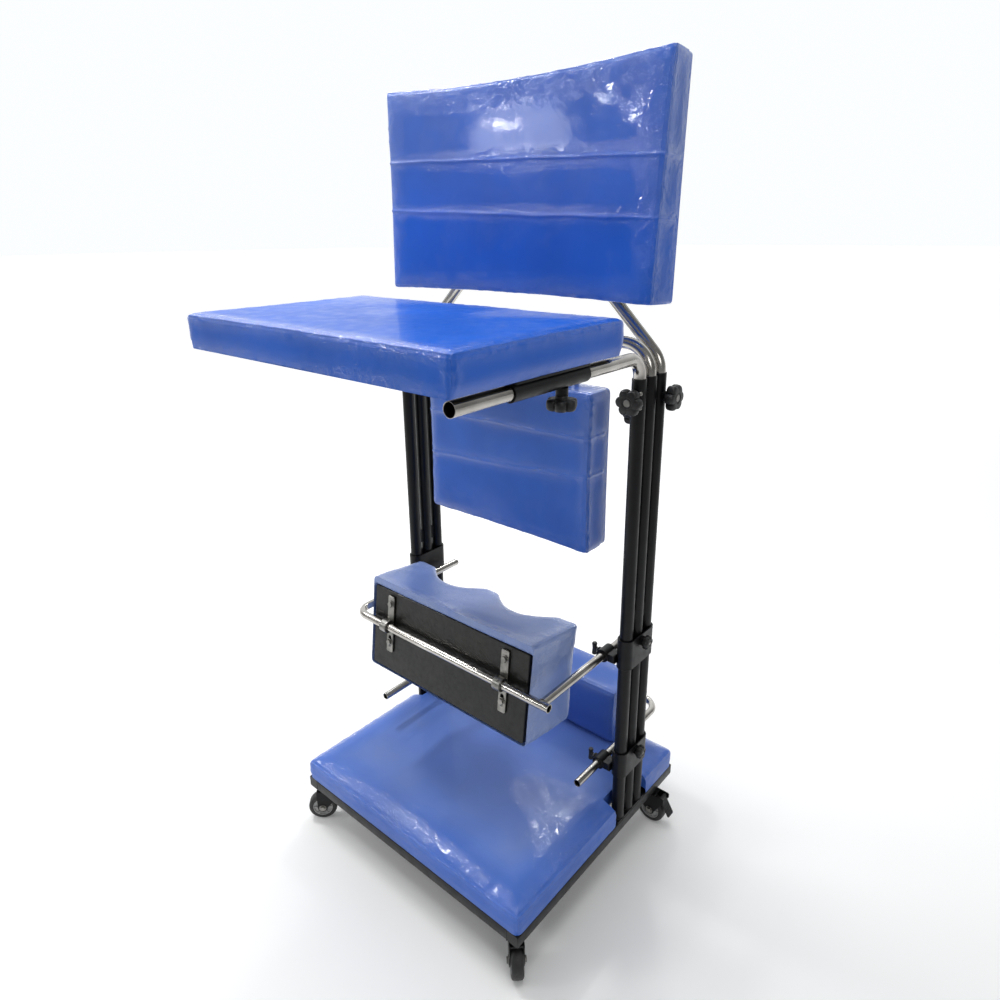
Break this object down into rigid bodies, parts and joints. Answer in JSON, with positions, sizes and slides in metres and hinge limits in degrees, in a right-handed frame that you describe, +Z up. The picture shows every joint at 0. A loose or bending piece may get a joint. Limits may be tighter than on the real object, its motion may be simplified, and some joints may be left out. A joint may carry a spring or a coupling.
{
  "type": "sitting-standing frame",
  "caption": "Padded standing frame on casters, with tray, back, hip, knee and heel supports that adjust on tubular side columns.",
  "frame": {"origin": "on the floor under the middle of the whole frame", "axes": "+Z up, -Y to the front where the tray reaches out, +X to the right seen from the front"},
  "size_m": [0.6786, 0.7, 1.5338],
  "materials": {
    "black_paint": "semi-gloss black powder coat",
    "chrome": "bright polished chrome tube",
    "vinyl": "glossy royal blue vinyl over foam",
    "board": "black faced plywood",
    "plastic": "moulded black plastic",
    "zinc": "zinc plated steel strip",
    "wheel": "dark moulded wheel"
  },
  "bodies": {
    "base": {"base_frame": "black_paint", "footplate_board": "board", "footpad": "vinyl", "column_left": "black_paint", "column_right": "black_paint"},
    "caster_front_left": {"caster_fork_front_left": "black_paint"},
    "caster_front_right": {"caster_fork_front_right": "black_paint"},
    "caster_rear_left": {"caster_fork_rear_left": "black_paint"},
    "caster_rear_right": {"caster_fork_rear_right": "black_paint"},
    "wheel_front_left": {"caster_wheel_front_left": "wheel"},
    "wheel_front_right": {"caster_wheel_front_right": "wheel"},
    "wheel_rear_left": {"caster_wheel_rear_left": "wheel"},
    "wheel_rear_right": {"caster_wheel_rear_right": "wheel"},
    "brake_rear_left": {"brake_pedal_rear_left": "plastic"},
    "brake_rear_right": {"brake_pedal_rear_right": "plastic"},
    "tray_arms": {"tray_arm_left": "chrome", "tray_arm_right": "chrome"},
    "tray_top": {"tray_sleeve_left": "black_paint", "tray_sleeve_right": "black_paint", "tray_board": "board", "tray_pad": "vinyl"},
    "hip_frame": {"hip_bar": "chrome"},
    "hip_support": {"hip_strap_left": "zinc", "hip_strap_right": "zinc", "hip_board": "board", "hip_pad": "vinyl"},
    "back_frame": {"back_bar": "chrome"},
    "back_support": {"back_strap_left": "zinc", "back_strap_right": "zinc", "back_board": "board", "back_pad": "vinyl"},
    "knee_carriage": {"knee_collar_left": "black_paint", "knee_collar_right": "black_paint"},
    "knee_slider": {"knee_bar": "chrome"},
    "knee_support": {"knee_strap_left": "zinc", "knee_strap_right": "zinc", "knee_board": "board", "knee_pad": "vinyl"},
    "heel_carriage": {"heel_collar_left": "black_paint", "heel_collar_right": "black_paint"},
    "heel_slider": {"heel_bar": "chrome", "heel_board": "board", "heel_pad": "vinyl"},
    "front_knob_left": {"front_tube_knob_left": "plastic"},
    "front_knob_right": {"front_tube_knob_right": "plastic"},
    "middle_knob_left": {"middle_tube_knob_left": "plastic"},
    "middle_knob_right": {"middle_tube_knob_right": "plastic"},
    "rear_knob_left": {"rear_tube_knob_left": "plastic"},
    "rear_knob_right": {"rear_tube_knob_right": "plastic"},
    "tray_lock_left": {"tray_knob_left": "plastic"},
    "tray_lock_right": {"tray_knob_right": "plastic"},
    "knee_lock_left": {"knee_collar_knob_left": "plastic"},
    "knee_lock_right": {"knee_collar_knob_right": "plastic"},
    "knee_wing_left": {"knee_clamp_knob_left": "plastic"},
    "knee_wing_right": {"knee_clamp_knob_right": "plastic"},
    "heel_lock_left": {"heel_collar_knob_left": "plastic"},
    "heel_lock_right": {"heel_collar_knob_right": "plastic"},
    "heel_wing_left": {"heel_clamp_knob_left": "plastic"},
    "heel_wing_right": {"heel_clamp_knob_right": "plastic"}
  },
  "joints": [
    {"name": "swivel_front_left", "type": "hinge", "parent": "base", "child": "caster_front_left", "pos_m": [-0.268, -0.191, 0], "axis": [0, 0, 1], "continuous": true},
    {"name": "swivel_front_right", "type": "hinge", "parent": "base", "child": "caster_front_right", "pos_m": [0.268, -0.191, 0], "axis": [0, 0, 1], "continuous": true},
    {"name": "swivel_rear_left", "type": "hinge", "parent": "base", "child": "caster_rear_left", "pos_m": [-0.268, 0.265, 0], "axis": [0, 0, 1], "continuous": true},
    {"name": "swivel_rear_right", "type": "hinge", "parent": "base", "child": "caster_rear_right", "pos_m": [0.268, 0.265, 0], "axis": [0, 0, 1], "continuous": true},
    {"name": "roll_front_left", "type": "hinge", "parent": "caster_front_left", "child": "wheel_front_left", "pos_m": [-0.28497, -0.20797, 0.0315], "axis": [0.7071, -0.7071, 0], "continuous": true},
    {"name": "roll_front_right", "type": "hinge", "parent": "caster_front_right", "child": "wheel_front_right", "pos_m": [0.28497, -0.20797, 0.0315], "axis": [0.7071, 0.7071, 0], "continuous": true},
    {"name": "roll_rear_left", "type": "hinge", "parent": "caster_rear_left", "child": "wheel_rear_left", "pos_m": [-0.292, 0.265, 0.0315], "axis": [0, 1, 0], "continuous": true},
    {"name": "roll_rear_right", "type": "hinge", "parent": "caster_rear_right", "child": "wheel_rear_right", "pos_m": [0.292, 0.265, 0.0315], "axis": [0, 1, 0], "continuous": true},
    {"name": "brake_press_left", "type": "hinge", "parent": "caster_rear_left", "child": "brake_rear_left", "pos_m": [-0.316, 0.265, 0.0696], "axis": [0, -1, 0], "range_deg": [0, 10]},
    {"name": "brake_press_right", "type": "hinge", "parent": "caster_rear_right", "child": "brake_rear_right", "pos_m": [0.316, 0.265, 0.0696], "axis": [0, 1, 0], "range_deg": [0, 10]},
    {"name": "tray_lift", "type": "slide", "parent": "base", "child": "tray_arms", "axis": [0, 0, 1], "range_m": [0, 0.065]},
    {"name": "tray_slide", "type": "slide", "parent": "tray_arms", "child": "tray_top", "axis": [0, 1, 0], "range_m": [-0.11, 0.04]},
    {"name": "hip_lift", "type": "slide", "parent": "base", "child": "hip_frame", "axis": [0, 0, 1], "range_m": [0, 0.04]},
    {"name": "hip_tilt", "type": "hinge", "parent": "hip_frame", "child": "hip_support", "pos_m": [0, 0.15, 1.087], "axis": [-1, 0, 0], "range_deg": [-10, 15]},
    {"name": "back_lift", "type": "slide", "parent": "base", "child": "back_frame", "axis": [0, 0, 1], "range_m": [0, 0.3]},
    {"name": "back_tilt", "type": "hinge", "parent": "back_frame", "child": "back_support", "pos_m": [0, 0.184, 1.19], "axis": [-1, 0, 0], "range_deg": [-2.5, 20]},
    {"name": "knee_lift", "type": "slide", "parent": "base", "child": "knee_carriage", "axis": [0, 0, 1], "range_m": [-0.06, 0.08]},
    {"name": "knee_slide", "type": "slide", "parent": "knee_carriage", "child": "knee_slider", "axis": [0, 1, 0], "range_m": [-0.08, 0.02]},
    {"name": "knee_tilt", "type": "hinge", "parent": "knee_slider", "child": "knee_support", "pos_m": [0, -0.0966, 0.492], "axis": [1, 0, 0], "range_deg": [-12, 12]},
    {"name": "heel_lift", "type": "slide", "parent": "base", "child": "heel_carriage", "axis": [0, 0, 1], "range_m": [0, 0.12]},
    {"name": "heel_slide", "type": "slide", "parent": "heel_carriage", "child": "heel_slider", "axis": [0, 1, 0], "range_m": [-0.06, 0.06]},
    {"name": "front_knob_turn_left", "type": "hinge", "parent": "base", "child": "front_knob_left", "pos_m": [-0.2893, 0.0993, 1], "axis": [0, -1, 0], "continuous": true},
    {"name": "front_knob_turn_right", "type": "hinge", "parent": "base", "child": "front_knob_right", "pos_m": [0.2893, 0.0993, 1], "axis": [0, -1, 0], "continuous": true},
    {"name": "middle_knob_turn_left", "type": "hinge", "parent": "base", "child": "middle_knob_left", "pos_m": [-0.2726, 0.15, 0.968], "axis": [1, 0, 0], "continuous": true},
    {"name": "middle_knob_turn_right", "type": "hinge", "parent": "base", "child": "middle_knob_right", "pos_m": [0.2726, 0.15, 0.968], "axis": [-1, 0, 0], "continuous": true},
    {"name": "rear_knob_turn_left", "type": "hinge", "parent": "base", "child": "rear_knob_left", "pos_m": [-0.306, 0.184, 0.995], "axis": [-1, 0, 0], "continuous": true},
    {"name": "rear_knob_turn_right", "type": "hinge", "parent": "base", "child": "rear_knob_right", "pos_m": [0.306, 0.184, 0.995], "axis": [1, 0, 0], "continuous": true},
    {"name": "tray_knob_turn_left", "type": "hinge", "parent": "tray_top", "child": "tray_lock_left", "pos_m": [-0.2893, -0.104, 1.0484], "axis": [0, 0, -1], "continuous": true},
    {"name": "tray_knob_turn_right", "type": "hinge", "parent": "tray_top", "child": "tray_lock_right", "pos_m": [0.2893, -0.104, 1.0484], "axis": [0, 0, -1], "continuous": true},
    {"name": "knee_knob_turn_left", "type": "hinge", "parent": "knee_carriage", "child": "knee_lock_left", "pos_m": [-0.3095, 0.15, 0.522], "axis": [-1, 0, 0], "continuous": true},
    {"name": "knee_knob_turn_right", "type": "hinge", "parent": "knee_carriage", "child": "knee_lock_right", "pos_m": [0.3095, 0.15, 0.522], "axis": [1, 0, 0], "continuous": true},
    {"name": "knee_wing_turn_left", "type": "hinge", "parent": "knee_carriage", "child": "knee_wing_left", "pos_m": [-0.2329, 0.11, 0.492], "axis": [1, 0, 0], "continuous": true},
    {"name": "knee_wing_turn_right", "type": "hinge", "parent": "knee_carriage", "child": "knee_wing_right", "pos_m": [0.2329, 0.11, 0.492], "axis": [-1, 0, 0], "continuous": true},
    {"name": "heel_knob_turn_left", "type": "hinge", "parent": "heel_carriage", "child": "heel_lock_left", "pos_m": [-0.3095, 0.15, 0.268], "axis": [-1, 0, 0], "continuous": true},
    {"name": "heel_knob_turn_right", "type": "hinge", "parent": "heel_carriage", "child": "heel_lock_right", "pos_m": [0.3095, 0.15, 0.268], "axis": [1, 0, 0], "continuous": true},
    {"name": "heel_wing_turn_left", "type": "hinge", "parent": "heel_carriage", "child": "heel_wing_left", "pos_m": [-0.2329, 0.11, 0.24], "axis": [1, 0, 0], "continuous": true},
    {"name": "heel_wing_turn_right", "type": "hinge", "parent": "heel_carriage", "child": "heel_wing_right", "pos_m": [0.2329, 0.11, 0.24], "axis": [-1, 0, 0], "continuous": true}
  ]
}
